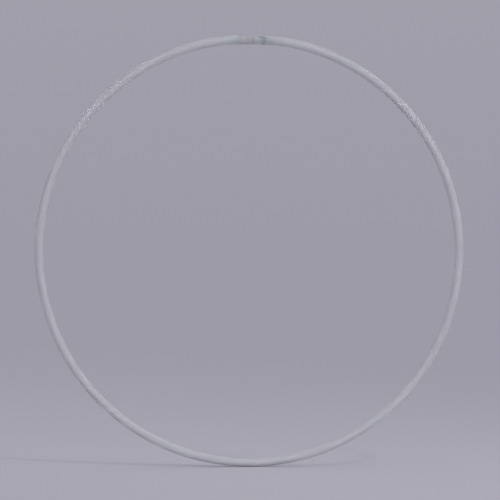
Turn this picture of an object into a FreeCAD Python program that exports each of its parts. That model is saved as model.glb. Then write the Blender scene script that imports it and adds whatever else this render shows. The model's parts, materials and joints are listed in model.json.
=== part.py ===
"""Collapsible rhythmic-gymnastics hoop, modelled piece by piece.

The hoop stands upright: its axis is +Y, +Z is up and the origin is the centre of the ring.
The connector is at the top, with the rivet on the -X side of the seam and the snap button on
the +X side.  The tube is one extrusion in the real hoop; here it is cut once more, opposite
the connector, so that the two halves can open about OPENING_PIVOT.  Dimensions are millimetres.
"""
import FreeCAD, Part
import math
import os

from FreeCAD import Placement, Rotation, Vector

# Driving dimensions: the tube and the ring
TUBE_OD = 18.0
TUBE_WALL = 2.5
RING_RADIUS = 434.0            # centre line of the round part of the ring
OPENING_PIVOT = RING_RADIUS + TUBE_OD / 2   # depth of the opening pivot below the origin
SHOULDER_RADIUS = 250.0        # tighter bend between the round part and the connector
SEAM_GAP = 0.4                 # visible joint line between the two tube ends
SEAM_CHAMFER = 0.4

# Driving dimensions: the connector
FASTENER_OFFSET = 19.7         # seam to rivet, and seam to snap button
INSERT_FIXED_LENGTH = 42.0     # riveted side, from the seam
INSERT_FREE_LENGTH = 43.0      # sliding side, from the seam to the start of its tapered nose
INSERT_NOSE_LENGTH = 4.5
INSERT_NOSE_RADIUS = 5.45
INSERT_CLEARANCE = 0.08        # radial, insert in tube
INSERT_WALL = 1.52

# Driving dimensions: the blind rivet
RIVET_SHANK_RADIUS = 2.0
RIVET_HOLE_CLEARANCE = 0.05
RIVET_FLANGE_RADIUS = 4.0
RIVET_SEAT_DEPTH = 0.3         # how far the flange is pulled into the soft tube
RIVET_RIM_HEIGHT = 0.5
RIVET_DOME_HEIGHT = 1.55
RIVET_BULB_RADIUS = 2.9
RIVET_BULB_LENGTH = 2.6
MANDREL_RADIUS = 1.15
MANDREL_HOLE_RADIUS = 1.2
MANDREL_HEAD_RADIUS = 2.2
MANDREL_RECESS = 0.9           # broken end below the top of the dome

# Driving dimensions: the snap button and its spring
BUTTON_RADIUS = 3.0
BUTTON_HOLE_CLEARANCE = 0.08
BUTTON_PROTRUSION = 1.9        # top of the dome above the tube
BUTTON_DOME_RISE = 1.6
BUTTON_TAIL_RADIUS = 1.3
BUTTON_TAIL_HEAD_RADIUS = 2.1
BUTTON_TAIL_HEAD_HEIGHT = 0.7
SPRING_WIDTH = 6.0
SPRING_THICKNESS = 0.5
SPRING_ARM_LENGTH = 28.0       # button axis to the bend of the spring
SPRING_TIP_LENGTH = 4.6        # button axis to the free end of the upper arm
SPRING_WALL_GAP = 0.06         # spring edges to the bore of the insert
SPRING_TAIL_CLEARANCE = 0.05

# Derived dimensions
TUBE_RADIUS = TUBE_OD / 2
TUBE_BORE_RADIUS = TUBE_RADIUS - TUBE_WALL
INSERT_RADIUS = TUBE_BORE_RADIUS - INSERT_CLEARANCE
INSERT_BORE_RADIUS = INSERT_RADIUS - INSERT_WALL
AXIS = Vector(0, 1, 0)
PIVOT = Vector(0, 0, -OPENING_PIVOT)


def connector_geometry():
    """Return (radius, half angle, shoulder centre, shoulder end angle) of the connector stretch.

    The stretch is an arc about the opening pivot, so the tube slides off the insert along it.
    The shoulder arc is tangent to it and to the round part of the ring.
    """
    reach = INSERT_FREE_LENGTH + INSERT_NOSE_LENGTH
    inner = RING_RADIUS - SHOULDER_RADIUS
    half_angle = reach / (OPENING_PIVOT + RING_RADIUS)
    distance = OPENING_PIVOT * math.cos(half_angle) + math.sqrt(
        inner**2 - (OPENING_PIVOT * math.sin(half_angle)) ** 2
    )
    centre = Vector(distance * math.sin(half_angle), 0, distance * math.cos(half_angle) - OPENING_PIVOT)
    return distance + SHOULDER_RADIUS, half_angle, centre, math.atan2(centre.x, centre.z)


CONNECTOR_RADIUS, CONNECTOR_HALF_ANGLE, SHOULDER_CENTRE, SHOULDER_END_ANGLE = connector_geometry()


def bent_rod(radius, centre, bend_radius, start, end):
    """A round rod bent about centre; angles are radians from +Z towards +X."""
    start_point = centre + Vector(math.sin(start), 0, math.cos(start)) * bend_radius
    tangent = Vector(math.cos(start), 0, -math.sin(start))
    disc = Part.Face(Part.Wire(Part.makeCircle(radius, start_point, tangent)))
    return disc.revolve(centre, AXIS, math.degrees(end - start))


def half_ring_rod(radius, seam_gap):
    """A round rod along the +X half of the ring's centre line, from the seam to the bottom."""
    seam_angle = seam_gap / 2 / CONNECTOR_RADIUS
    connector = bent_rod(radius, PIVOT, CONNECTOR_RADIUS, seam_angle, CONNECTOR_HALF_ANGLE)
    shoulder = bent_rod(
        radius, SHOULDER_CENTRE, SHOULDER_RADIUS, CONNECTOR_HALF_ANGLE, SHOULDER_END_ANGLE
    )
    round_part = bent_rod(radius, Vector(0, 0, 0), RING_RADIUS, SHOULDER_END_ANGLE, math.pi)
    return connector.fuse([shoulder, round_part])


def place_on_connector(shape, offset):
    """Move a shape from its own frame to the connector.

    In its own frame the origin is on the tube's centre line, +Z is radially outward and +X runs
    along the tube; offset is the distance from the seam.
    """
    angle = offset / CONNECTOR_RADIUS
    turn = Rotation(AXIS, math.degrees(angle))
    origin = PIVOT + turn.multVec(Vector(0, 0, CONNECTOR_RADIUS))
    shape = shape.copy()
    shape.Placement = Placement(origin, turn)
    return shape


def turned(points):
    """A solid of revolution about the local Z axis, from a list of (radius, height) and arcs.

    An entry of three numbers (radius, height, bulge) ends an arc whose middle stands bulge to
    the left of the chord, seen along the direction of travel.
    """
    edges = []
    last = Vector(points[0][0], 0, points[0][1])
    for entry in points[1:] + points[:1]:
        point = Vector(entry[0], 0, entry[1])
        bulge = entry[2] if len(entry) == 3 else 0
        if bulge:
            chord = point - last
            side = Vector(-chord.z, 0, chord.x).normalize()
            middle = (last + point) * 0.5 + side * bulge
            edges.append(Part.Arc(last, middle, point).toShape())
        elif point.distanceToPoint(last) > 1e-7:
            edges.append(Part.makeLine(last, point))
        last = point
    return Part.Face(Part.Wire(edges)).revolve(Vector(0, 0, 0), Vector(0, 0, 1), 360)


def dome_bulge(radius, rise):
    """Bulge of the arc from a dome's rim to its pole that makes the dome part of a sphere."""
    sphere = (radius**2 + rise**2) / (2 * rise)
    return sphere - math.sqrt(sphere**2 - (radius**2 + rise**2) / 4)


def radial_pin(radius, offset, bottom, top):
    """A cylinder that stands radially in the connector, used to cut holes."""
    pin = Part.makeCylinder(radius, top - bottom, Vector(0, 0, bottom))
    return place_on_connector(pin, offset)


def chamfer_seam_edge(tube):
    """Break the outer edge of the tube's end at the seam."""
    limit = SEAM_GAP / 2 + 0.01
    edges = [
        e
        for e in tube.Edges
        if abs(e.BoundBox.XMin) < limit
        and abs(e.BoundBox.XMax) < limit
        and e.BoundBox.ZMin > 0
        and e.BoundBox.YLength > 2 * TUBE_BORE_RADIUS + 1
    ]
    return tube.makeChamfer(SEAM_CHAMFER, edges)


def half_tube():
    """The +X half of the tube, before any hole is made."""
    tube = half_ring_rod(TUBE_RADIUS, SEAM_GAP).cut(half_ring_rod(TUBE_BORE_RADIUS, 0))
    return chamfer_seam_edge(tube.removeSplitter())


def hoop_tube_right():
    hole = radial_pin(BUTTON_RADIUS + BUTTON_HOLE_CLEARANCE, FASTENER_OFFSET, 0, 2 * TUBE_RADIUS)
    return half_tube().cut(hole)


def hoop_tube_left():
    seat_height = TUBE_RADIUS - RIVET_SEAT_DEPTH
    tube = half_tube().mirror(Vector(0, 0, 0), Vector(1, 0, 0))
    hole_radius = RIVET_SHANK_RADIUS + RIVET_HOLE_CLEARANCE
    hole = radial_pin(hole_radius, -FASTENER_OFFSET, 0, 2 * TUBE_RADIUS)
    seat = radial_pin(RIVET_FLANGE_RADIUS, -FASTENER_OFFSET, seat_height, 2 * TUBE_RADIUS)
    return tube.cut([hole, seat])


def connector_insert():
    """The sleeve inside the tube: riveted on the -X side, with a tapered nose on the +X side."""
    start = -INSERT_FIXED_LENGTH / CONNECTOR_RADIUS
    end = INSERT_FREE_LENGTH / CONNECTOR_RADIUS
    nose = Part.makeCone(
        INSERT_RADIUS, INSERT_NOSE_RADIUS, INSERT_NOSE_LENGTH, Vector(0, 0, 0), Vector(1, 0, 0)
    )
    body = bent_rod(INSERT_RADIUS, PIVOT, CONNECTOR_RADIUS, start, end)
    body = body.fuse(place_on_connector(nose, INSERT_FREE_LENGTH))
    bore_end = end + 2 * INSERT_NOSE_LENGTH / CONNECTOR_RADIUS
    bore = bent_rod(INSERT_BORE_RADIUS, PIVOT, CONNECTOR_RADIUS, start, bore_end)
    rivet_radius = RIVET_SHANK_RADIUS + RIVET_HOLE_CLEARANCE
    button_radius = BUTTON_RADIUS + BUTTON_HOLE_CLEARANCE
    rivet_hole = radial_pin(rivet_radius, -FASTENER_OFFSET, 0, TUBE_RADIUS)
    button_hole = radial_pin(button_radius, FASTENER_OFFSET, 0, TUBE_RADIUS)
    return body.cut([bore, rivet_hole, button_hole])


def rivet_heights():
    """Heights of the rivet above the tube's centre line: seat, dome top, shank end, bulb end."""
    seat = TUBE_RADIUS - RIVET_SEAT_DEPTH
    shank_end = math.sqrt(INSERT_BORE_RADIUS**2 - RIVET_SHANK_RADIUS**2) - 0.06
    bulb_top = math.sqrt(INSERT_BORE_RADIUS**2 - RIVET_BULB_RADIUS**2) - 0.15
    return seat, seat + RIVET_DOME_HEIGHT, shank_end, bulb_top, bulb_top - RIVET_BULB_LENGTH


def rivet_body():
    """Aluminium blind rivet: domed flange outside, shank, and the set bulb inside the insert."""
    seat, top, shank_end, bulb_top, bulb_end = rivet_heights()
    mouth = MANDREL_HOLE_RADIUS + 0.45
    shape = turned(
        [
            (MANDREL_HOLE_RADIUS, bulb_end),
            (RIVET_SHANK_RADIUS + 0.3, bulb_end),
            (RIVET_BULB_RADIUS, bulb_end + 0.8, -0.12),
            (RIVET_BULB_RADIUS, bulb_top),
            (RIVET_SHANK_RADIUS, shank_end, -0.04),
            (RIVET_SHANK_RADIUS, seat),
            (RIVET_FLANGE_RADIUS - 0.15, seat),
            (RIVET_FLANGE_RADIUS - 0.15, seat + RIVET_RIM_HEIGHT, -0.15),
            (mouth, top, -0.3),
            (MANDREL_HOLE_RADIUS, top - 0.45, 0.06),
        ]
    )
    return place_on_connector(shape, -FASTENER_OFFSET)


def rivet_mandrel():
    """Steel mandrel left in the set rivet: its head under the bulb, its stem broken inside."""
    top, bulb_end = rivet_heights()[1], rivet_heights()[4]
    head_height = 1.7
    stem_top = top - MANDREL_RECESS
    shape = turned(
        [
            (0, bulb_end - head_height),
            (MANDREL_HEAD_RADIUS * 0.55, bulb_end - head_height),
            (MANDREL_HEAD_RADIUS, bulb_end - 0.35, -0.25),
            (MANDREL_HEAD_RADIUS, bulb_end),
            (MANDREL_RADIUS, bulb_end),
            (MANDREL_RADIUS, stem_top - 0.3),
            (MANDREL_RADIUS * 0.7, stem_top),
            (0, stem_top - 0.15),
        ]
    )
    return place_on_connector(shape, -FASTENER_OFFSET)


def spring_heights():
    """Outer faces of the upper pad and of the lower arm, from the insert's centre line."""
    wall = math.sqrt((INSERT_BORE_RADIUS - SPRING_WALL_GAP) ** 2 - (SPRING_WIDTH / 2) ** 2)
    return wall, -wall


def snap_button():
    """Plated button: a domed pin, riveted through the upper arm of the spring."""
    pad_top = spring_heights()[0]
    pad_bottom = pad_top - SPRING_THICKNESS
    top = TUBE_RADIUS + BUTTON_PROTRUSION
    head_bottom = pad_bottom - BUTTON_TAIL_HEAD_HEIGHT
    shape = turned(
        [
            (0, head_bottom),
            (BUTTON_TAIL_HEAD_RADIUS * 0.6, head_bottom),
            (BUTTON_TAIL_HEAD_RADIUS, pad_bottom, -0.2),
            (BUTTON_TAIL_RADIUS, pad_bottom),
            (BUTTON_TAIL_RADIUS, pad_top),
            (BUTTON_RADIUS, pad_top),
            (BUTTON_RADIUS, top - BUTTON_DOME_RISE),
            (0, top, -dome_bulge(BUTTON_RADIUS, BUTTON_DOME_RISE)),
        ]
    )
    return place_on_connector(shape, FASTENER_OFFSET)


def snap_spring():
    """Hairpin leaf spring: the lower arm lies in the insert, the upper arm carries the button."""
    pad_top, arm_bottom = spring_heights()
    t = SPRING_THICKNESS
    bend = 1.6
    bend_x = bend - SPRING_ARM_LENGTH
    pad_start = -BUTTON_RADIUS - 1.2
    low = arm_bottom + t
    bend_top = low + 2 * bend
    outer = [
        Vector(SPRING_TIP_LENGTH, 0, arm_bottom),
        Vector(bend_x, 0, arm_bottom),
        Vector(bend_x, 0, bend_top + t),
        Vector(pad_start, 0, pad_top),
        Vector(SPRING_TIP_LENGTH, 0, pad_top),
    ]
    inner = [
        Vector(SPRING_TIP_LENGTH, 0, pad_top - t),
        Vector(pad_start + 0.1, 0, pad_top - t),
        Vector(bend_x, 0, bend_top),
        Vector(bend_x, 0, low),
        Vector(SPRING_TIP_LENGTH, 0, low),
    ]
    bend_centre_z = low + bend
    outer_bend = Part.Arc(outer[1], Vector(bend_x - bend - t, 0, bend_centre_z), outer[2])
    inner_bend = Part.Arc(inner[2], Vector(bend_x - bend, 0, bend_centre_z), inner[3])
    edges = [
        Part.makeLine(outer[0], outer[1]),
        outer_bend.toShape(),
        Part.makeLine(outer[2], outer[3]),
        Part.makeLine(outer[3], outer[4]),
        Part.makeLine(outer[4], inner[0]),
        Part.makeLine(inner[0], inner[1]),
        Part.makeLine(inner[1], inner[2]),
        inner_bend.toShape(),
        Part.makeLine(inner[3], inner[4]),
        Part.makeLine(inner[4], outer[0]),
    ]
    strip = Part.Face(Part.Wire(edges)).extrude(Vector(0, SPRING_WIDTH, 0))
    strip.translate(Vector(0, -SPRING_WIDTH / 2, 0))
    tail_hole = Part.makeCylinder(
        BUTTON_TAIL_RADIUS + SPRING_TAIL_CLEARANCE, 2 * t, Vector(0, 0, pad_top - 1.5 * t)
    )
    return place_on_connector(strip.cut(tail_hole), FASTENER_OFFSET)


SUB_PARTS = {
    "hoop_tube_left": hoop_tube_left,
    "hoop_tube_right": hoop_tube_right,
    "connector_insert": connector_insert,
    "rivet_body": rivet_body,
    "rivet_mandrel": rivet_mandrel,
    "snap_spring": snap_spring,
    "snap_button": snap_button,
}

os.makedirs("parts", exist_ok=True)
for name, make in SUB_PARTS.items():
    shape = make()
    shape.exportStep(f"parts/{name}.step")
    print(f"{name}: {shape.Volume:.1f} mm3, {len(shape.Solids)} solid, valid {shape.isValid()}")
print(f"connector radius {CONNECTOR_RADIUS:.3f}, seam height {CONNECTOR_RADIUS - OPENING_PIVOT:.3f}")
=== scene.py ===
"""Looks of the collapsible rhythmic hoop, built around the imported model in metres.

The hoop stands upright in the XZ plane with its connector at the top.  Distances along the tube
are measured from the seam, clockwise seen from the front (-Y): the snap button is at a positive
distance, the rivet at a negative one.
"""
import json
import math

import bmesh
import bpy
from mathutils import Matrix, Vector


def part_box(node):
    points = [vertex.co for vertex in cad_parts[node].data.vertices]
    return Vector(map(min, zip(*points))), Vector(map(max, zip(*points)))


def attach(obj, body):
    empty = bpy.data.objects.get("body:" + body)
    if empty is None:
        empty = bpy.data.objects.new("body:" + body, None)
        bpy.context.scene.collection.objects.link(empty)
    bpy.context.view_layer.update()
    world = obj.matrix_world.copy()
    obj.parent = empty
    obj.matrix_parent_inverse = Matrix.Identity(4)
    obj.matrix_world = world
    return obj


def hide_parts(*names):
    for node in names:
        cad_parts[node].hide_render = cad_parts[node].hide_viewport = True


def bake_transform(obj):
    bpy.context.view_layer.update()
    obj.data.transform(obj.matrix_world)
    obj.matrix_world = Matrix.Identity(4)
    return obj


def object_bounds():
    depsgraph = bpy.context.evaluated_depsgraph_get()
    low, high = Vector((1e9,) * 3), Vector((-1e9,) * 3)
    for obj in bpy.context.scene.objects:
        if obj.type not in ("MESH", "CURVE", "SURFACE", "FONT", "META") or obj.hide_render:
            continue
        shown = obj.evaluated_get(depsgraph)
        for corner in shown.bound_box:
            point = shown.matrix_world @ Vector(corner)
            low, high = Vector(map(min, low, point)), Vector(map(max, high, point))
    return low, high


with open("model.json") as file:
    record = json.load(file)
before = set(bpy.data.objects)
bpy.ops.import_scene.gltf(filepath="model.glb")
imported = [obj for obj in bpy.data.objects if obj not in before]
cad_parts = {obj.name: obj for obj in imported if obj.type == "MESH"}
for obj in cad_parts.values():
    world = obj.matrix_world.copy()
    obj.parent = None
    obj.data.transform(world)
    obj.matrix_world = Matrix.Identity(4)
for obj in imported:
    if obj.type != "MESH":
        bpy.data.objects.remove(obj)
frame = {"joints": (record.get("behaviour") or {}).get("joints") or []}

cad_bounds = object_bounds()
MM = 0.001

# ---------------------------------------------------------------- sizes taken from the frame
joints = {j["name"]: j for j in frame["joints"]}
PIVOT = Vector(joints["hoop_opening"]["pos_m"])
PRESS_AXIS = Vector(joints["button_press"]["axis"])
BUTTON_ANGLE = math.atan2(-PRESS_AXIS.x, -PRESS_AXIS.z)
TUBE_RADIUS = round(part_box("hoop_tube_right")[1].y, 4)
RING_RADIUS = -PIVOT.z - TUBE_RADIUS
CONNECTOR_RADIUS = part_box("hoop_tube_left")[1].z - TUBE_RADIUS - PIVOT.z
INSERT_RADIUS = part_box("connector_insert")[1].y
FASTENER_OFFSET = BUTTON_ANGLE * CONNECTOR_RADIUS

# ---------------------------------------------------------------- other sizes of the hoop
TUBE_BORE = 6.5 * MM
SHOULDER_RADIUS = 250 * MM
SEAM_HALF_GAP = 0.12 * MM
SEAM_CHAMFER = 0.3 * MM
BORE_CHAMFER = 0.2 * MM
INSERT_BORE = 4.9 * MM
INSERT_FIXED_LENGTH = 42 * MM
INSERT_FREE_LENGTH = 43 * MM
INSERT_CHAMFER = 0.4 * MM
INSERT_NOSE_LENGTH = 4.5 * MM
INSERT_NOSE_RADIUS = 5.45 * MM
RIVET_HOLE = 2.05 * MM
RIVET_SEAT_RADIUS = 4.0 * MM
RIVET_SEAT_HEIGHT = 8.7 * MM
RIVET_SHANK = 2.0 * MM
RIVET_BORE = 1.2 * MM
BUTTON_RADIUS = 3.0 * MM
BUTTON_HOLE = 3.08 * MM
BUTTON_DOME_RISE = 1.6 * MM
BUTTON_DOME_CLEARANCE = 0.3 * MM        # from the tube's crown to the foot of the dome
LEAF_THICKNESS = 0.5 * MM
LEAF_WIDTH = 5.96 * MM
FIXED_ARC_END = math.radians(225)       # clockwise from the top, where the two visual arcs meet
BEND_TILT = math.radians(20)            # of the opening's bend, above +X


# ---------------------------------------------------------------- the tube's centre line
def connector_geometry():
    """Half angle of the connector's arc, centre of the shoulder arc and angle of its far end."""
    depth, inner = -PIVOT.z, RING_RADIUS - SHOULDER_RADIUS
    half = (INSERT_FREE_LENGTH + INSERT_NOSE_LENGTH) / (depth + RING_RADIUS)
    reach = depth * math.cos(half) + math.sqrt(inner**2 - (depth * math.sin(half)) ** 2)
    centre = Vector((reach * math.sin(half), 0, reach * math.cos(half) - depth))
    return half, centre, math.atan2(centre.x, centre.z)


HALF_ANGLE, SHOULDER_CENTRE, SHOULDER_END = connector_geometry()
CONNECTOR_END = CONNECTOR_RADIUS * HALF_ANGLE
SHOULDER_LENGTH = SHOULDER_RADIUS * (SHOULDER_END - HALF_ANGLE)
ROUND_START = CONNECTOR_END + SHOULDER_LENGTH


def arc_length_at(angle):
    """Distance from the seam to a place on the round part, by its angle clockwise from the top."""
    return ROUND_START + RING_RADIUS * (angle - SHOULDER_END)


def centre_line(distance):
    """Point and outward direction of the centre line at a distance from the seam."""
    s = abs(distance)
    if s <= CONNECTOR_END:
        centre, radius, angle = PIVOT, CONNECTOR_RADIUS, s / CONNECTOR_RADIUS
    elif s <= ROUND_START:
        angle = HALF_ANGLE + (s - CONNECTOR_END) / SHOULDER_RADIUS
        centre, radius = SHOULDER_CENTRE, SHOULDER_RADIUS
    else:
        angle = SHOULDER_END + (s - ROUND_START) / RING_RADIUS
        centre, radius = Vector((0, 0, 0)), RING_RADIUS
    out = Vector((math.sin(angle), 0, math.cos(angle)))
    point = centre + out * radius
    if distance < 0:
        point.x, out.x = -point.x, -out.x
    return point, out


def surface_point(distance, theta, radius):
    """Point at a radius round the centre line; theta is 0 on the ring's outer side."""
    point, out = centre_line(distance)
    return point + out * (radius * math.cos(theta)) + Vector((0, radius * math.sin(theta), 0))


# ---------------------------------------------------------------- mesh helpers
def make_object(name, points, faces, material, sharp_degrees=35.0):
    """A smooth-shaded mesh object with its sharp edges marked."""
    mesh = bpy.data.meshes.new(name)
    mesh.from_pydata([tuple(p) for p in points], [], faces)
    mesh.validate()
    edit = bmesh.new()
    edit.from_mesh(mesh)
    bmesh.ops.recalc_face_normals(edit, faces=edit.faces)
    edit.to_mesh(mesh)
    edit.free()
    mesh.shade_smooth()
    mesh.set_sharp_from_angle(angle=math.radians(sharp_degrees))
    mesh.materials.append(material)
    obj = bpy.data.objects.new(name, mesh)
    bpy.context.scene.collection.objects.link(obj)
    return obj


class Shell:
    """A hollow bent tube as one closed mesh, with radial holes on its outer side.

    stations are distances from the seam; outer and inner give the radii at a station.
    """

    AROUND = 48

    def __init__(self, stations, outer, inner):
        self.stations = stations
        self.outer, self.inner = outer, inner
        self.points, self.params, self.faces = [], [], []
        self.hole_rings = []

    def add(self, distance, theta, radius):
        """Add a point and return its number."""
        self.points.append(surface_point(distance, theta, radius))
        self.params.append((distance, theta))
        return len(self.points) - 1

    def grid(self, radius_at, blocked):
        """One wall of the shell as rows of quads; blocked cells are left for holes."""
        rows = []
        thetas = [2 * math.pi * k / self.AROUND for k in range(self.AROUND)]
        for s in self.stations:
            radius = radius_at(s)
            rows.append([self.add(s, theta, radius) for theta in thetas])
        for i in range(len(rows) - 1):
            for k in range(self.AROUND):
                if (i, k) in blocked:
                    continue
                n = (k + 1) % self.AROUND
                self.faces.append((rows[i][k], rows[i + 1][k], rows[i + 1][n], rows[i][n]))
        return rows

    def hole_window(self, hole):
        """Rows and half width, in cells, of the patch that holds a hole."""
        first = max(i for i, s in enumerate(self.stations) if s <= hole["at"] - hole["window"])
        last = min(i for i, s in enumerate(self.stations) if s >= hole["at"] + hole["window"])
        return first, last, hole["cells"]

    def window_outline(self, rows, first, last, cells):
        """Vertices round a patch, in order."""
        ks = [k % self.AROUND for k in range(-cells, cells + 1)]
        low = [rows[first][k] for k in ks]
        up = [rows[i][ks[-1]] for i in range(first + 1, last)]
        high = [rows[last][k] for k in reversed(ks)]
        down = [rows[i][ks[0]] for i in range(last - 1, first, -1)]
        return low + up + high + down

    def patch(self, rows, window, hole, radius, rings, seat=None):
        """Fill a patch from its outline to the hole's rim; returns the rim's vertices.

        rings are the radii of the rings of points, from the outside in.  seat is a radius and a
        height: within that radius the surface is flattened down to that height.
        """
        outline = self.window_outline(rows, *window)
        places = []
        for v in outline:
            s, theta = self.params[v]
            if theta > math.pi:
                theta -= 2 * math.pi
            places.append((s - hole["at"], radius * math.sin(theta)))
        previous = outline
        for ring in rings:
            current = []
            for ds, dy in places:
                length = math.hypot(ds, dy)
                across, along = dy / length * ring, ds / length * ring
                theta = math.asin(max(-1, min(1, across / radius)))
                height = radius
                if seat and ring <= seat[0] * 1.0001:
                    height = min(radius, seat[1] / math.cos(theta))
                    theta = math.asin(across / height)
                current.append(self.add(hole["at"] + along, theta, height))
            self.bridge(previous, current)
            previous = current
        return previous

    def bridge(self, a, b, flip=False):
        """Faces between two closed rows with the same number of points."""
        for k in range(len(a)):
            n = (k + 1) % len(a)
            face = (a[k], a[n], b[n], b[k])
            self.faces.append(face[::-1] if flip else face)

    def build(self, name, material, holes=()):
        """Make the mesh object: both walls, each hole with its sides, and the two end faces."""
        windows = [self.hole_window(h) for h in holes]
        blocked = set()
        for first, last, cells in windows:
            for i in range(first, last):
                blocked |= {(i, k % self.AROUND) for k in range(-cells, cells)}
        outer_rows = self.grid(self.outer, blocked)
        inner_start = len(self.faces)
        inner_rows = self.grid(self.inner, blocked)
        self.faces[inner_start:] = [f[::-1] for f in self.faces[inner_start:]]
        for hole, window in zip(holes, windows):
            outer_radius, inner_radius = self.outer(hole["at"]), self.inner(hole["at"])
            rim = self.patch(
                outer_rows, window, hole, outer_radius, hole["outer_rings"], hole.get("seat")
            )
            start = len(self.faces)
            floor = self.patch(inner_rows, window, hole, inner_radius, hole["inner_rings"])
            self.faces[start:] = [f[::-1] for f in self.faces[start:]]
            self.bridge(rim, floor)
        for end, flip in ((0, True), (-1, False)):
            self.bridge(outer_rows[end], inner_rows[end], flip=not flip)
        obj = make_object(name, self.points, self.faces, material)
        self.write_map(obj)
        return obj

    def write_map(self, obj):
        """A UV map in metres along the tube and round it, for patterns that follow the tube."""
        layer = obj.data.uv_layers.new(name="AlongTube")
        for polygon in obj.data.polygons:
            thetas = [self.params[v][1] % (2 * math.pi) for v in polygon.vertices]
            wraps = max(thetas) - min(thetas) > math.pi
            for loop, v, theta in zip(polygon.loop_indices, polygon.vertices, thetas):
                if wraps and theta < math.pi:
                    theta += 2 * math.pi
                layer.data[loop].uv = (self.params[v][0], theta * TUBE_RADIUS)


def lathe(name, profile, offset, material, segments=64):
    """A closed turned piece standing radially in the connector; profile is (radius, height)."""
    points, faces, rings = [], [], []
    place = connector_matrix(offset)
    for radius, height in profile:
        if radius < 1e-9:
            points.append(place @ Vector((0, 0, height)))
            rings.append([len(points) - 1])
            continue
        first = len(points)
        for k in range(segments):
            a = 2 * math.pi * k / segments
            points.append(place @ Vector((radius * math.cos(a), radius * math.sin(a), height)))
        rings.append(list(range(first, first + segments)))
    closed = rings[0] if len(rings[0]) > 1 and len(rings[-1]) > 1 else None
    pairs = list(zip(rings, rings[1:])) + ([(rings[-1], closed)] if closed else [])
    for a, b in pairs:
        for k in range(segments):
            n = (k + 1) % segments
            if len(a) == 1:
                faces.append((a[0], b[n], b[k]))
            elif len(b) == 1:
                faces.append((a[k], a[n], b[0]))
            else:
                faces.append((a[k], a[n], b[n], b[k]))
    return make_object(name, points, faces, material, 40.0)


def connector_matrix(offset):
    """From a frame with +Z radially outward and +X along the tube to the row's frame."""
    point, out = centre_line(offset)
    along = Vector((out.z, 0, -out.x))
    turn = Matrix((along, Vector((0, 1, 0)), out)).transposed().to_4x4()
    return Matrix.Translation(point) @ turn


def arc(centre, radius, start, end, steps):
    """Points (radius, height) on an arc, angles in degrees from the +radius direction."""
    out = []
    for k in range(steps + 1):
        a = math.radians(start + (end - start) * k / steps)
        out.append((centre[0] + radius * math.cos(a), centre[1] + radius * math.sin(a)))
    return out


# ---------------------------------------------------------------- materials
# Colours are linear RGB.  The zones of the tube's paint are distances from the seam, except the
# two named after a fastener, which are distances from that fastener.
MILKY_TINTS = ((0.88, 0.89, 0.95, 1), (0.92, 0.93, 0.98, 1))
SEAM_TINT = (0.91, 0.92, 0.965, 1)
TEAL_TINT = (0.865, 0.925, 0.95, 1)
# Near-white for the painted highlights at the rivet and over the insert's ends.
PAINTED_HIGHLIGHT_WHITE = (0.985, 0.985, 0.995, 1)
TEAL_ZONE = (12 * MM, 24 * MM)
# Painted glints: the tube's outer side over both ends of the insert fades to near-white between
# these distances.
PAINTED_END_GLINT_ZONE = (29 * MM, INSERT_FIXED_LENGTH)
CONNECTOR_EDGE_ZONE = (INSERT_FIXED_LENGTH, INSERT_FIXED_LENGTH + 2 * MM)
# Painted highlight: a bright band round the rivet stands in for its lit shank seen through the tube
# and fades out between these distances.
RIVET_PAINTED_HIGHLIGHT_ZONE = (0.5 * MM, 5.5 * MM)
FASTENER_CLEAR_ZONE = (4 * MM, 9 * MM)
# Cosines round the tube over which the painted glints fade in on the outer side.
PAINTED_GLINT_SIDE_COSINES = (0.1, 0.8)
SATIN_ROUGHNESS = (0.46, 0.60)
CONNECTOR_ROUGHNESS = 0.3
CLEARNESS_AT_FASTENER, CLEARNESS_AT_CONNECTOR = 0.78, 0.62
# The tube is less clear under the painted highlights.
CLEARNESS_UNDER_PAINTED_HIGHLIGHTS, CLEARNESS_OF_RING = 0.38, 0.52
SLEEVE_TINTS = ((0.91, 0.95, 0.955, 1), (0.95, 0.97, 0.98, 1))
SLEEVE_ROUGHNESS = (0.05, 0.14)
FLOOR_SHADE = (0.63, 0.626, 0.665, 1)


def new_material(name):
    """A material with its node tree and its Principled shader."""
    material = bpy.data.materials.new(name)
    material.use_nodes = True
    tree = material.node_tree
    return material, tree, tree.nodes["Principled BSDF"]


def node(tree, kind, **values):
    """A new node; a value whose name starts with in_ is set on the input of that name."""
    made = tree.nodes.new(kind)
    for key, value in values.items():
        if key.startswith("in_"):
            made.inputs[key[3:].replace("_", " ")].default_value = value
        else:
            setattr(made, key, value)
    return made


def feed(tree, socket, value):
    """Link a socket to another one, or set it to a plain value."""
    if isinstance(value, bpy.types.NodeSocket):
        tree.links.new(value, socket)
    else:
        socket.default_value = value


def maths(tree, operation, *values):
    """Result of a maths node; each value is a number or a socket."""
    made = node(tree, "ShaderNodeMath", operation=operation)
    for socket, value in zip(made.inputs, values):
        feed(tree, socket, value)
    return made.outputs["Value"]


def ramp(tree, source, low, high, from_low=0.3, from_high=0.7):
    """Map a socket from one range to another, clamped; noise mostly stays within 0.3 to 0.7."""
    made = node(tree, "ShaderNodeMapRange", clamp=True)
    made.inputs["From Min"].default_value = from_low
    made.inputs["From Max"].default_value = from_high
    made.inputs["To Min"].default_value = low
    made.inputs["To Max"].default_value = high
    tree.links.new(source, made.inputs["Value"])
    return made.outputs["Result"]


def mixed(tree, factor, a, b, kind="RGBA"):
    """Blend of two colours, or of two numbers if kind is FLOAT; each is a value or a socket."""
    socket_type = "VALUE" if kind == "FLOAT" else kind
    mix = node(tree, "ShaderNodeMix", data_type=kind)
    tree.links.new(factor, mix.inputs["Factor"])
    for name, value in (("A", a), ("B", b)):
        socket = next(i for i in mix.inputs if i.name == name and i.type == socket_type)
        feed(tree, socket, value)
    return next(o for o in mix.outputs if o.type == socket_type)


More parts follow.
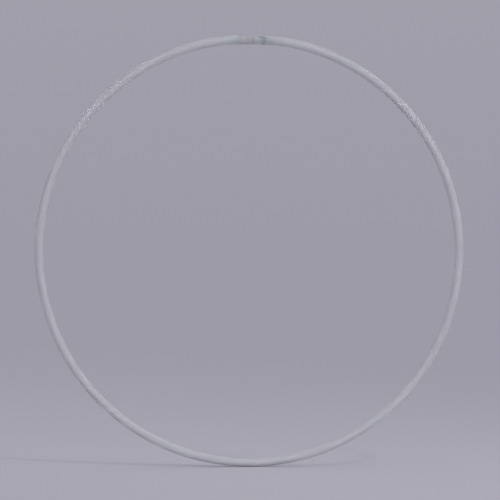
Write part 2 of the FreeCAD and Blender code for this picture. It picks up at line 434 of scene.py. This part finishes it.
def stretched_noise(tree, scale_along, scale_round, detail):
    """Noise whose grain is drawn out along the tube; both scales are per metre."""
    source = node(tree, "ShaderNodeTexCoord")
    mapping = node(tree, "ShaderNodeMapping")
    mapping.inputs["Scale"].default_value = (scale_along, scale_round, 1.0)
    tree.links.new(source.outputs["UV"], mapping.inputs["Vector"])
    grain = node(tree, "ShaderNodeTexNoise", in_Scale=1.0, in_Detail=detail)
    tree.links.new(mapping.outputs["Vector"], grain.inputs["Vector"])
    return grain.outputs["Fac"]


def object_noise(tree, scale):
    """Noise with the same grain in every direction."""
    source = node(tree, "ShaderNodeTexCoord")
    grain = node(tree, "ShaderNodeTexNoise", in_Scale=scale, in_Detail=3.0)
    tree.links.new(source.outputs["Object"], grain.inputs["Vector"])
    return grain.outputs["Fac"]


def add_bump(tree, shader, height, strength, distance):
    """Tilt a shader's normal by a height socket."""
    bump = node(tree, "ShaderNodeBump", in_Strength=strength, in_Distance=distance)
    tree.links.new(height, bump.inputs["Height"])
    tree.links.new(bump.outputs["Normal"], shader.inputs["Normal"])


def tube_coordinates(tree):
    """Sockets for the signed distance from the seam and the cosine of the angle round the tube."""
    source = node(tree, "ShaderNodeTexCoord")
    split = node(tree, "ShaderNodeSeparateXYZ")
    tree.links.new(source.outputs["UV"], split.inputs["Vector"])
    theta = maths(tree, "DIVIDE", split.outputs["Y"], TUBE_RADIUS)
    return split.outputs["X"], maths(tree, "COSINE", theta)


def tube_material():
    """Natural polypropylene: milky, faintly blue and satin.

    The tones at the connector are painted by place.  The tube is teal and clearer over the insert,
    clearest beside the two fasteners, and whiter and less clear at the rivet and on the outer side
    over both ends of the insert.  The whiter places are painted highlights: at the rivet they stand
    in for the lit rivet shank seen through the tube, over the insert's ends for glints.
    """
    material, tree, shader = new_material("natural_polypropylene")
    along, facing = tube_coordinates(tree)
    distance = maths(tree, "ABSOLUTE", along)
    from_rivet = maths(tree, "ABSOLUTE", maths(tree, "ADD", along, FASTENER_OFFSET))
    from_fastener = maths(tree, "ABSOLUTE", maths(tree, "SUBTRACT", distance, FASTENER_OFFSET))

    away = ramp(tree, distance, 0.0, 1.0, *CONNECTOR_EDGE_ZONE)
    # Painted glints on the outer side over both ends of the insert.
    painted_glint_span = ramp(tree, distance, 0.0, 1.0, *PAINTED_END_GLINT_ZONE)
    painted_glint_side = ramp(tree, facing, 0.0, 1.0, *PAINTED_GLINT_SIDE_COSINES)
    painted_end_glints = maths(tree, "MULTIPLY", painted_glint_span, painted_glint_side)
    # Painted highlight at the rivet, standing in for its lit shank seen through the tube.
    painted_rivet_highlight = ramp(tree, from_rivet, 0.85, 0.0, *RIVET_PAINTED_HIGHLIGHT_ZONE)
    painted_highlights = maths(tree, "MAXIMUM", painted_rivet_highlight, painted_end_glints)

    cloud = stretched_noise(tree, 14.0, 60.0, 2.0)
    ring_tint = mixed(tree, ramp(tree, cloud, 0.0, 1.0), *MILKY_TINTS)
    teal = mixed(tree, ramp(tree, distance, 0.0, 1.0, *TEAL_ZONE), SEAM_TINT, TEAL_TINT)
    # Teal over the insert, with the painted highlights mixed in near-white.
    teal_and_painted_highlights = mixed(tree, painted_highlights, teal, PAINTED_HIGHLIGHT_WHITE)
    feed(tree, shader.inputs["Base Color"], mixed(tree, away, teal_and_painted_highlights, ring_tint))

    scuffs = stretched_noise(tree, 40.0, 300.0, 3.0)
    satin = ramp(tree, scuffs, *SATIN_ROUGHNESS)
    roughness = mixed(tree, away, CONNECTOR_ROUGHNESS, satin, "FLOAT")
    feed(tree, shader.inputs["Roughness"], roughness)

    clear = ramp(
        tree, from_fastener, CLEARNESS_AT_FASTENER, CLEARNESS_AT_CONNECTOR, *FASTENER_CLEAR_ZONE
    )
    clear = mixed(tree, painted_highlights, clear, CLEARNESS_UNDER_PAINTED_HIGHLIGHTS, "FLOAT")
    clearness = mixed(tree, away, clear, CLEARNESS_OF_RING, "FLOAT")
    feed(tree, shader.inputs["Transmission Weight"], clearness)

    shader.inputs["Subsurface Weight"].default_value = 1.0
    shader.inputs["Subsurface Radius"].default_value = (1.0, 1.0, 1.0)
    shader.inputs["Subsurface Scale"].default_value = 1.5 * MM
    shader.inputs["Diffuse Roughness"].default_value = 1.0
    shader.inputs["IOR"].default_value = 1.49
    shader.inputs["Coat Weight"].default_value = 0.8
    shader.inputs["Coat Roughness"].default_value = 0.2
    return material


def insert_material():
    """Clear polycarbonate sleeve, slightly green and handled."""
    material, tree, shader = new_material("clear_polycarbonate")
    smear = stretched_noise(tree, 120.0, 300.0, 2.0)
    tint = mixed(tree, ramp(tree, smear, 0.0, 1.0), *SLEEVE_TINTS)
    tree.links.new(tint, shader.inputs["Base Color"])
    tree.links.new(ramp(tree, smear, *SLEEVE_ROUGHNESS), shader.inputs["Roughness"])
    shader.inputs["Transmission Weight"].default_value = 0.85
    shader.inputs["IOR"].default_value = 1.58
    return material


def metal_material(name, colour, roughness, grain_scale, bump):
    """Metal with a fine grain; roughness is a lowest and highest value, bump a depth in metres."""
    material, tree, shader = new_material(name)
    shader.inputs["Base Color"].default_value = (*colour, 1)
    shader.inputs["Metallic"].default_value = 1.0
    grain = object_noise(tree, grain_scale)
    tree.links.new(ramp(tree, grain, *roughness), shader.inputs["Roughness"])
    add_bump(tree, shader, grain, 0.3, bump)
    return material


def backdrop_material():
    """A matt grey that, lit by this sky, comes within a few levels of the horizon's shade."""
    material, _, shader = new_material("plain_backdrop")
    shader.inputs["Base Color"].default_value = FLOOR_SHADE
    shader.inputs["Roughness"].default_value = 1.0
    shader.inputs["Specular IOR Level"].default_value = 0.0
    return material


TUBE = tube_material()
INSERT = insert_material()
ALUMINIUM = metal_material("tumbled_aluminium", (0.80, 0.81, 0.82), (0.28, 0.45), 900, 0.00002)
STEEL = metal_material("zinc_plated_steel", (0.36, 0.36, 0.38), (0.35, 0.6), 1400, 0.00003)
SPRING_STEEL = metal_material("rolled_spring_steel", (0.55, 0.56, 0.58), (0.22, 0.38), 700, 0.00001)
NICKEL = metal_material("polished_nickel", (0.74, 0.73, 0.72), (0.06, 0.16), 500, 0.000005)


# ---------------------------------------------------------------- the tube
def spaced(start, end, step):
    """Even places from start up to, but without, end, no further apart than step."""
    count = max(1, math.ceil(abs(end - start) / step))
    return [start + (end - start) * k / count for k in range(count)]


def tube_stations(end):
    """Stations from the cut at the seam to a distance: close at the connector, wider beyond.

    The last step, at the far end, is very short.
    """
    ends = [SEAM_HALF_GAP, SEAM_HALF_GAP + SEAM_CHAMFER, 60 * MM, 150 * MM, end]
    steps = [SEAM_CHAMFER, 1.2 * MM, 3 * MM, 5.5 * MM]
    out = []
    for first, last, step in zip(ends, ends[1:], steps):
        out += spaced(first, last, step)
    return out + [end - 0.05 * MM, end]


def outer_radius(s):
    """Outer radius of the tube at a station, with the chamfer at the seam."""
    edge = SEAM_HALF_GAP + SEAM_CHAMFER - abs(s)
    return TUBE_RADIUS - max(0.0, edge)


def bore_radius(s):
    """Radius of the tube's bore at a station, with the chamfer at the seam."""
    edge = SEAM_HALF_GAP + SEAM_CHAMFER - abs(s)
    return TUBE_BORE + max(0.0, edge) * BORE_CHAMFER / SEAM_CHAMFER


# A hole's window is half the length of its patch, and cells is half the patch's width in quads.
rivet_hole = {
    "at": -FASTENER_OFFSET, "window": 5.6 * MM, "cells": 5,
    "seat": (RIVET_SEAT_RADIUS, RIVET_SEAT_HEIGHT),
    "outer_rings": [
        4.7 * MM, 4.25 * MM, RIVET_SEAT_RADIUS * 1.01, RIVET_SEAT_RADIUS, 3.2 * MM, RIVET_HOLE,
    ],
    "inner_rings": [3.2 * MM, 2.5 * MM, RIVET_HOLE],
}
button_hole = {
    "at": FASTENER_OFFSET, "window": 5.6 * MM, "cells": 5,
    "outer_rings": [4.6 * MM, 3.9 * MM, 3.5 * MM, 3.3 * MM, BUTTON_HOLE],
    "inner_rings": [3.7 * MM, 3.3 * MM, BUTTON_HOLE],
}

free_end = arc_length_at(FIXED_ARC_END)
fixed_end = arc_length_at(2 * math.pi - FIXED_ARC_END)
free_arc = Shell(tube_stations(free_end), outer_radius, bore_radius).build(
    "hoop_tube_free_arc", TUBE, [button_hole]
)
fixed_stations = [-s for s in reversed(tube_stations(fixed_end))]
fixed_arc = Shell(fixed_stations, outer_radius, bore_radius).build(
    "hoop_tube_fixed_arc", TUBE, [rivet_hole]
)


# ---------------------------------------------------------------- the insert
def insert_radius(s):
    """Outer radius of the insert, with a chamfer at its fixed end and a nose at its free end."""
    past = s - INSERT_FREE_LENGTH
    if past <= 0:
        edge = max(0.0, s + INSERT_FIXED_LENGTH)
        return INSERT_RADIUS - max(0.0, INSERT_CHAMFER - edge)
    share = past / INSERT_NOSE_LENGTH
    return INSERT_RADIUS + (INSERT_NOSE_RADIUS - INSERT_RADIUS) * share**1.3


chamfer_end = -INSERT_FIXED_LENGTH + INSERT_CHAMFER
nose_end = INSERT_FREE_LENGTH + INSERT_NOSE_LENGTH
insert_stations = (
    spaced(-INSERT_FIXED_LENGTH, chamfer_end, 0.2 * MM)
    + spaced(chamfer_end, INSERT_FREE_LENGTH, 1.2 * MM)
    + spaced(INSERT_FREE_LENGTH, nose_end, 0.5 * MM)
    + [nose_end]
)
insert_holes = [
    {"at": -FASTENER_OFFSET, "window": 4.6 * MM, "cells": 6,
     "outer_rings": [3.4 * MM, 2.6 * MM, RIVET_HOLE],
     "inner_rings": [2.9 * MM, 2.4 * MM, RIVET_HOLE]},
    {"at": FASTENER_OFFSET, "window": 4.6 * MM, "cells": 6,
     "outer_rings": [3.9 * MM, 3.4 * MM, BUTTON_HOLE],
     "inner_rings": [3.25 * MM, BUTTON_HOLE]},
]
sleeve = Shell(insert_stations, insert_radius, lambda s: INSERT_BORE).build(
    "connector_insert_sleeve", INSERT, insert_holes
)


# ---------------------------------------------------------------- the blind rivet
# Profiles are (radius, height above the tube's centre line).  The rivet's runs up its outside
# and closes down its bore; the mandrel's and the button's run from the axis to the axis.
crest = RIVET_SEAT_HEIGHT
rivet_profile = (
    [(RIVET_BORE, 1.3 * MM), (2.1 * MM, 1.3 * MM)]
    + arc((2.1 * MM, 2.1 * MM), 0.8 * MM, -80, 0, 6)
    + [(2.9 * MM, 3.6 * MM), (2.6 * MM, 4.0 * MM), (RIVET_SHANK, 4.35 * MM), (RIVET_SHANK, crest)]
    + [(3.6 * MM, crest)]
    + arc((3.6 * MM, crest + 0.25 * MM), 0.25 * MM, -80, 40, 6)
    + [(3.4 * MM, crest + 0.82 * MM), (2.9 * MM, crest + 1.16 * MM), (2.4 * MM, crest + 1.38 * MM)]
    + [(2.0 * MM, crest + 1.5 * MM), (1.72 * MM, crest + 1.55 * MM), (1.5 * MM, crest + 1.5 * MM)]
    + [(1.32 * MM, crest + 1.36 * MM), (RIVET_BORE, crest + 1.15 * MM)]
)
rivet = lathe("rivet_flange_and_bulb", rivet_profile, -FASTENER_OFFSET, ALUMINIUM)
mandrel_profile = (
    [(0, -0.35 * MM), (1.2 * MM, -0.35 * MM)]
    + arc((1.2 * MM, 0.65 * MM), 1.0 * MM, -90, 0, 8)
    + [(2.2 * MM, 1.28 * MM), (1.14 * MM, 1.3 * MM), (1.14 * MM, crest + 0.45 * MM)]
    + [(0.95 * MM, crest + 0.62 * MM), (0.6 * MM, crest + 0.52 * MM), (0, crest + 0.6 * MM)]
)
mandrel = lathe("rivet_mandrel_stem", mandrel_profile, -FASTENER_OFFSET, STEEL, 48)


# ---------------------------------------------------------------- the snap button and its spring
PAD_REACH = 4.84 * MM                   # from the tube's centre line to the pad's upper edge
PAD_HALF_WIDTH = 3 * MM
STEM_RADIUS = 1.3 * MM
pad_top = math.sqrt(PAD_REACH**2 - PAD_HALF_WIDTH**2)
pad_bottom = pad_top - LEAF_THICKNESS
dome_base = TUBE_RADIUS + BUTTON_DOME_CLEARANCE
dome_sphere = (BUTTON_RADIUS**2 + BUTTON_DOME_RISE**2) / (2 * BUTTON_DOME_RISE)
dome_start = math.degrees(math.acos(BUTTON_RADIUS / dome_sphere))
button_profile = (
    [(0, pad_bottom - 0.7 * MM), (STEM_RADIUS, pad_bottom - 0.7 * MM)]
    + [(1.9 * MM, pad_bottom - 0.45 * MM), (2.1 * MM, pad_bottom)]
    + [(STEM_RADIUS, pad_bottom), (STEM_RADIUS, pad_top), (2.85 * MM, pad_top)]
    + [(BUTTON_RADIUS, pad_top + 0.15 * MM), (BUTTON_RADIUS, dome_base - 0.1 * MM)]
    + arc((0, dome_base + BUTTON_DOME_RISE - dome_sphere), dome_sphere, dome_start + 2, 90, 14)
)
button = lathe("snap_button_dome", button_profile, FASTENER_OFFSET, NICKEL)


def spring_path():
    """Middle line of the leaf in the button's frame, from the lower free end to the upper one."""
    arm, tip_x, step = 28 * MM, 4.6 * MM, 3 * MM
    bend_radius, bend_steps, rise_steps = 1.85 * MM, 12, 10
    bend_x = bend_radius - arm
    low = -pad_top + LEAF_THICKNESS / 2
    points = [(tip_x, low)]
    points += [(x, low) for x in spaced(step, bend_x, step)]
    points += arc((bend_x, low + bend_radius), bend_radius, -90, -270, bend_steps)
    pad_x, pad_z = -4.2 * MM, pad_top - LEAF_THICKNESS / 2
    x, z = points[-1]
    for k in range(1, rise_steps + 1):
        share = k / rise_steps
        points.append((x + (pad_x - x) * share, z + (pad_z - z) * share))
    return points + [(-2 * MM, pad_z), (0, pad_z), (2 * MM, pad_z), (tip_x, pad_z)]


def leaf_spring():
    """The hairpin leaf, with rounded edges, swept along its path."""
    path = [Vector((x, 0, z)) for x, z in spring_path()]
    corner = LEAF_THICKNESS * 0.3
    corner_y, corner_z = LEAF_WIDTH / 2 - corner, LEAF_THICKNESS / 2 - corner
    section = []
    for side_y, side_z, start in ((1, 1, 0), (-1, 1, 90), (-1, -1, 180), (1, -1, 270)):
        section += arc((side_y * corner_y, side_z * corner_z), corner, start, start + 90, 3)
    place = connector_matrix(FASTENER_OFFSET)
    points, faces = [], []
    count = len(section)
    for i, p in enumerate(path):
        ahead = (path[min(i + 1, len(path) - 1)] - path[max(i - 1, 0)]).normalized()
        normal = Vector((-ahead.z, 0, ahead.x))
        for y, t in section:
            points.append(place @ (p + Vector((0, y, 0)) + normal * t))
    for i in range(len(path) - 1):
        for k in range(count):
            n = (k + 1) % count
            a, b = i * count, (i + 1) * count
            faces.append((a + k, b + k, b + n, a + n))
    faces.append(tuple(range(count)))
    last = (len(path) - 1) * count
    faces.append(tuple(reversed(range(last, last + count))))
    return make_object("snap_spring_leaf", points, faces, SPRING_STEEL, 50.0)


spring = leaf_spring()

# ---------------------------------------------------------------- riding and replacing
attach(fixed_arc, "root")
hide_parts("hoop_tube_left")

bend_direction = Vector((math.cos(BEND_TILT), 0, math.sin(BEND_TILT)))
bend_start = bend_direction * bend_direction.dot(surface_point(free_end, 0, 0))
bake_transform(free_arc)
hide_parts("hoop_tube_right")

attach(sleeve, "root")
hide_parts("connector_insert")
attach(rivet, "root")
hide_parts("rivet_body")
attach(mandrel, "root")
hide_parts("rivet_mandrel")
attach(button, "button")
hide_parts("snap_button")

spring_place = connector_matrix(FASTENER_OFFSET)
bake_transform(spring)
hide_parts("snap_spring")


# ---------------------------------------------------------------- floor, light and camera
def backdrop():
    """A plain round floor, far wider than every view, close in shade to the world beyond it."""
    bpy.ops.mesh.primitive_circle_add(
        vertices=128, radius=60.0, fill_type="NGON", location=(0, 0, cad_bounds[0].z)
    )
    obj = bpy.context.object
    obj.name = "plain_floor"
    obj.data.materials.append(backdrop_material())


LAMP_FORWARD = 42                       # degrees that both lamps lean to the camera
LAMP_DISTANCE = 6.0


def soft_box(name, place, size, power):
    """A rectangular lamp that faces the ring's centre, in a narrow cone.

    It is hidden from reflections and from refraction, so it adds only diffuse light.
    """
    light = bpy.data.lights.new(name, "AREA")
    light.shape = "RECTANGLE"
    light.size, light.size_y = size
    light.energy = power
    light.spread = math.radians(50)
    obj = bpy.data.objects.new(name, light)
    obj.location = place
    obj.visible_transmission = False
    obj.visible_glossy = False
    obj.rotation_euler = (-obj.location).to_track_quat("-Z", "Y").to_euler()
    bpy.context.scene.collection.objects.link(obj)


def clock_place(clock_degrees, forward_degrees, distance):
    """A place by its clock angle seen from the front and how far it leans to the camera."""
    clock, forward = math.radians(clock_degrees), math.radians(forward_degrees)
    sideways = Vector((math.sin(clock), 0, math.cos(clock))) * math.cos(forward)
    return (sideways - Vector((0, math.sin(forward), 0))) * distance


HORIZON_SHADE = (0.336, 0.327, 0.387, 1)
VAULT_SHADE = (0.42, 0.41, 0.463, 1)
BACK_SHADE = (0.66, 0.647, 0.715, 1)
FRONT_SHADE = (0.76, 0.747, 0.816, 1)


def sky():
    """Soft light from all round: plain at the horizon, brighter above, behind and in front.

    Each ramp's last two values are the range of the direction's height or of its depth, which is
    negative towards the camera.
    """
    world = bpy.data.worlds.new("soft_world")
    world.use_nodes = True
    tree = world.node_tree
    source = node(tree, "ShaderNodeTexCoord")
    split = node(tree, "ShaderNodeSeparateXYZ")
    tree.links.new(source.outputs["Generated"], split.inputs["Vector"])
    depth, height = split.outputs["Y"], split.outputs["Z"]
    rise = ramp(tree, height, 0.0, 1.0, 0.0, 0.45)
    front = ramp(tree, depth, 0.0, 1.0, -0.1, -0.85)
    above = ramp(tree, height, 0.0, 1.0, 0.0, 0.06)
    behind = ramp(tree, depth, 0.0, 1.0, 0.1, 0.85)
    high = ramp(tree, height, 0.0, 1.0, 0.2, 0.45)
    shade = mixed(tree, rise, HORIZON_SHADE, VAULT_SHADE)
    shade = mixed(tree, maths(tree, "MULTIPLY", behind, high), shade, BACK_SHADE)
    shade = mixed(tree, maths(tree, "MULTIPLY", front, above), shade, FRONT_SHADE)
    feed(tree, tree.nodes["Background"].inputs["Color"], shade)
    bpy.context.scene.world = world


def lights():
    """Two lamps at the upper right, in front."""
    soft_box("key_softbox", clock_place(72, LAMP_FORWARD, LAMP_DISTANCE), (0.55, 0.95), 5.2)
    soft_box("second_softbox", clock_place(27, LAMP_FORWARD, LAMP_DISTANCE), (0.45, 0.8), 2.2)


def camera():
    """Face-on to the ring, turned a little to one side, with a very small roll."""
    azimuth, roll, distance = math.radians(-7), math.radians(0.5), 5.0
    target = Vector((-3.0 * MM, 0, 1.2 * MM))
    data = bpy.data.cameras.new("front_camera")
    data.lens, data.sensor_width = 175.6, 36.0
    data.clip_start, data.clip_end = 0.1, 200.0
    obj = bpy.data.objects.new("front_camera", data)
    back = Vector((math.sin(azimuth), -math.cos(azimuth), 0))
    obj.location = target + back * distance
    facing = (-back).to_track_quat("-Z", "Y").to_matrix()
    obj.rotation_euler = (facing @ Matrix.Rotation(roll, 3, "Z")).to_euler()
    bpy.context.scene.collection.objects.link(obj)
    bpy.context.scene.camera = obj


backdrop()
sky()
lights()
camera()
bpy.context.scene.view_settings.view_transform = "Standard"
